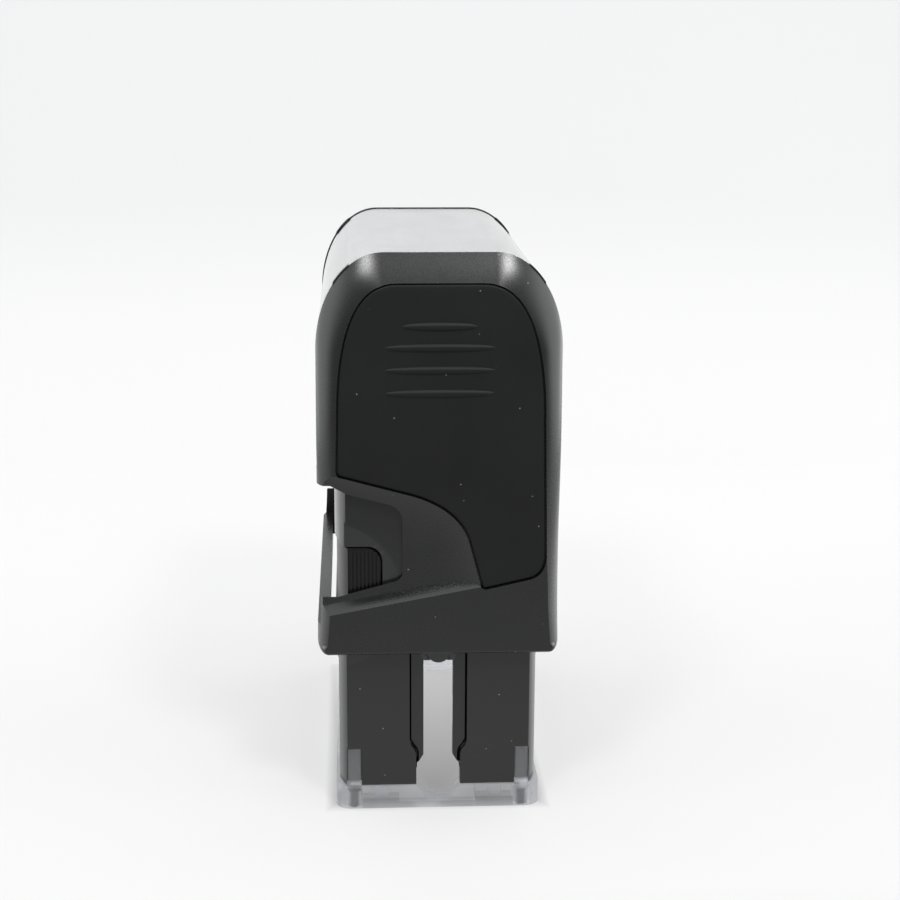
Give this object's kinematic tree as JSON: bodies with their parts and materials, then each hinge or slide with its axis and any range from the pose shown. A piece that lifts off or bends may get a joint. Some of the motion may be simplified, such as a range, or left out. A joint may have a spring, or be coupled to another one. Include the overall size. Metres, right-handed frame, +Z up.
{
  "type": "self-inking stamp",
  "caption": "Self-inking desk stamp with a spring-loaded cap, clear index window, slide-out ink cartridge and a die that flips over on its way down.",
  "frame": {"origin": "on the desk plane, at the centre of the bounding box's footprint", "axes": "+X along the stamp's length, +Y towards the rear (lock button side), -Y the front where the ink cartridge slides out, +Z up"},
  "size_m": [0.069, 0.0374, 0.0885],
  "materials": {
    "cap_black": "satin ABS, near-black",
    "panel_black": "fine matte, soft-touch",
    "frame_black": "satin ABS, near-black",
    "carrier_grey": "satin acetal, dark grey",
    "button_grey": "satin, mid grey",
    "clear_plastic": "clear polished polystyrene",
    "paper": "white card",
    "felt": "ink-soaked felt",
    "foam": "fine adhesive foam",
    "stamp_rubber": "laser-engraved rubber",
    "foot_rubber": "matt rubber",
    "spring_steel": "drawn spring wire"
  },
  "bodies": {
    "base": {"base_frame": "frame_black", "clear_foot": "clear_plastic", "foot_pad_1": "foot_rubber", "foot_pad_2": "foot_rubber", "foot_pad_3": "foot_rubber", "foot_pad_4": "foot_rubber"},
    "cap": {"cap_shell": "cap_black", "side_panel_right": "panel_black", "side_panel_left": "panel_black", "index_card": "paper", "carrier_bow": "carrier_grey", "main_spring": "spring_steel"},
    "window_cover": {"index_window": "clear_plastic"},
    "lock": {"lock_button": "button_grey"},
    "die": {"die_holder": "carrier_grey", "die_foam": "foam", "rubber_die": "stamp_rubber"},
    "cartridge": {"ink_tray": "frame_black", "ink_pad": "felt"}
  },
  "joints": [
    {"name": "press", "type": "slide", "parent": "base", "child": "cap", "axis": [0, 0, -1], "range_m": [0, 0.0215], "stiffness_N_per_m": 400, "springref_m": -0.02, "deforming": ["main_spring"]},
    {"name": "die_flip", "type": "hinge", "parent": "cap", "child": "die", "pos_m": [0, 0, 0.0262], "axis": [-1, 0, 0], "range_deg": [0, 180]},
    {"name": "cartridge_slide", "type": "slide", "parent": "base", "child": "cartridge", "axis": [0, -1, 0], "range_m": [0, 0.036]},
    {"name": "window_lift", "type": "slide", "parent": "cap", "child": "window_cover", "axis": [0, 0, 1], "range_m": [0, 0.038]},
    {"name": "lock_press", "type": "slide", "parent": "cap", "child": "lock", "axis": [0, -1, 0], "range_m": [0, 0.001], "stiffness_N_per_m": 300, "springref_m": -0.001}
  ],
  "couplings": [
    {"joint": "die_flip", "follows": "press", "rad_per_m": 146.1}
  ]
}
